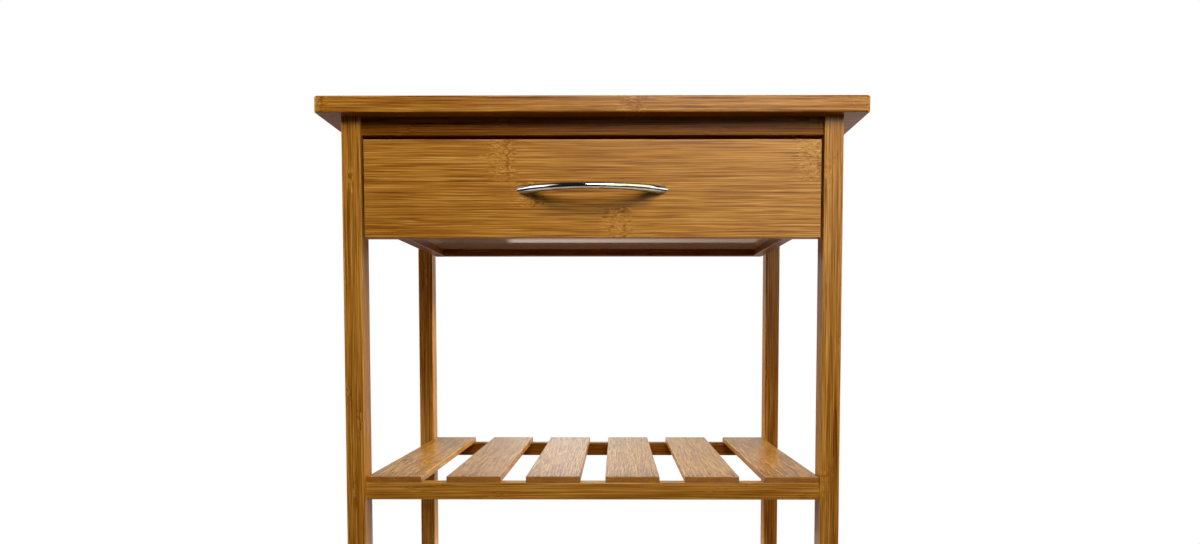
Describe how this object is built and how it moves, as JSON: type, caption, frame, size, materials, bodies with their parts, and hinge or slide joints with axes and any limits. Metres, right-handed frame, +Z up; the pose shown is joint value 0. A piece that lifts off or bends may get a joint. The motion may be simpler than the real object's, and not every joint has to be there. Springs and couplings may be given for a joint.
{
  "type": "kitchen cart",
  "caption": "Bamboo kitchen cart with a worktop, a drawer with a bow handle, slatted shelves and swivel casters.",
  "frame": {"origin": "on the floor, under the middle of the cart's outline", "axes": "+Z up, +X to the right seen from the drawer's side, +Y from the drawer front to the back"},
  "size_m": [0.512, 0.398, 0.76],
  "materials": {
    "bamboo": "honey-brown satin lacquer",
    "dowel": "plain beech",
    "panel": "glossy pale grey facing on board",
    "chrome": "polished chrome",
    "zinc": "bright zinc plate",
    "socket": "black nylon",
    "hub": "grey nylon",
    "tyre": "soft black rubber",
    "pedal": "black nylon"
  },
  "bodies": {
    "frame": {"tabletop": "bamboo", "leg_front_left": "bamboo", "leg_front_right": "bamboo", "leg_rear_left": "bamboo", "leg_rear_right": "bamboo", "top_rail_front": "bamboo", "rear_apron": "bamboo", "side_apron_left": "bamboo", "side_apron_right": "bamboo", "drawer_runner_left": "bamboo", "drawer_runner_right": "bamboo", "upper_shelf_front_rail": "bamboo", "upper_shelf_rear_rail": "bamboo", "upper_shelf_slat_1": "bamboo", "upper_shelf_slat_2": "bamboo", "upper_shelf_slat_3": "bamboo", "upper_shelf_slat_4": "bamboo", "upper_shelf_slat_5": "bamboo", "upper_shelf_slat_6": "bamboo", "lower_shelf_front_rail": "bamboo", "lower_shelf_rear_rail": "bamboo", "lower_shelf_slat_1": "bamboo", "lower_shelf_slat_2": "bamboo", "lower_shelf_slat_3": "bamboo", "lower_shelf_slat_4": "bamboo", "lower_shelf_slat_5": "bamboo", "lower_shelf_slat_6": "bamboo", "frame_bolts": "zinc", "barrel_nuts": "zinc", "tabletop_brackets": "zinc", "wood_screws": "zinc", "bracket_screws": "zinc", "apron_dowels": "dowel", "caster_sockets": "socket"},
    "drawer": {"drawer_front": "bamboo", "drawer_side_left": "bamboo", "drawer_side_right": "bamboo", "drawer_back": "bamboo", "drawer_bottom": "panel", "drawer_handle": "chrome", "handle_screws": "zinc", "drawer_screws": "zinc"},
    "caster_front_left": {"caster_fork_front_left": "zinc", "caster_axle_front_left": "zinc"},
    "wheel_front_left": {"caster_wheel_front_left": "hub", "caster_tyre_front_left": "tyre"},
    "brake_front_left": {"caster_brake_front_left": "pedal"},
    "caster_front_right": {"caster_fork_front_right": "zinc", "caster_axle_front_right": "zinc"},
    "wheel_front_right": {"caster_wheel_front_right": "hub", "caster_tyre_front_right": "tyre"},
    "brake_front_right": {"caster_brake_front_right": "pedal"},
    "caster_rear_left": {"caster_fork_rear_left": "zinc", "caster_axle_rear_left": "zinc"},
    "wheel_rear_left": {"caster_wheel_rear_left": "hub", "caster_tyre_rear_left": "tyre"},
    "caster_rear_right": {"caster_fork_rear_right": "zinc", "caster_axle_rear_right": "zinc"},
    "wheel_rear_right": {"caster_wheel_rear_right": "hub", "caster_tyre_rear_right": "tyre"}
  },
  "joints": [
    {"name": "drawer_slide", "type": "slide", "parent": "frame", "child": "drawer", "axis": [0, -1, 0], "range_m": [0, 0.22]},
    {"name": "swivel_front_left", "type": "hinge", "parent": "frame", "child": "caster_front_left", "pos_m": [-0.226, -0.161, 0.0598], "axis": [0, 0, 1], "continuous": true},
    {"name": "roll_front_left", "type": "hinge", "parent": "caster_front_left", "child": "wheel_front_left", "pos_m": [-0.226, -0.147, 0.02], "axis": [1, 0, 0], "continuous": true},
    {"name": "brake_pedal_front_left", "type": "hinge", "parent": "caster_front_left", "child": "brake_front_left", "pos_m": [-0.226, -0.15, 0.0436], "axis": [-1, 0, 0], "range_deg": [0, 8]},
    {"name": "swivel_front_right", "type": "hinge", "parent": "frame", "child": "caster_front_right", "pos_m": [0.226, -0.161, 0.0598], "axis": [0, 0, 1], "continuous": true},
    {"name": "roll_front_right", "type": "hinge", "parent": "caster_front_right", "child": "wheel_front_right", "pos_m": [0.226, -0.147, 0.02], "axis": [1, 0, 0], "continuous": true},
    {"name": "brake_pedal_front_right", "type": "hinge", "parent": "caster_front_right", "child": "brake_front_right", "pos_m": [0.226, -0.15, 0.0436], "axis": [-1, 0, 0], "range_deg": [0, 8]},
    {"name": "swivel_rear_left", "type": "hinge", "parent": "frame", "child": "caster_rear_left", "pos_m": [-0.226, 0.165, 0.0598], "axis": [0, 0, 1], "continuous": true},
    {"name": "roll_rear_left", "type": "hinge", "parent": "caster_rear_left", "child": "wheel_rear_left", "pos_m": [-0.226, 0.179, 0.02], "axis": [1, 0, 0], "continuous": true},
    {"name": "swivel_rear_right", "type": "hinge", "parent": "frame", "child": "caster_rear_right", "pos_m": [0.226, 0.165, 0.0598], "axis": [0, 0, 1], "continuous": true},
    {"name": "roll_rear_right", "type": "hinge", "parent": "caster_rear_right", "child": "wheel_rear_right", "pos_m": [0.226, 0.179, 0.02], "axis": [1, 0, 0], "continuous": true}
  ]
}
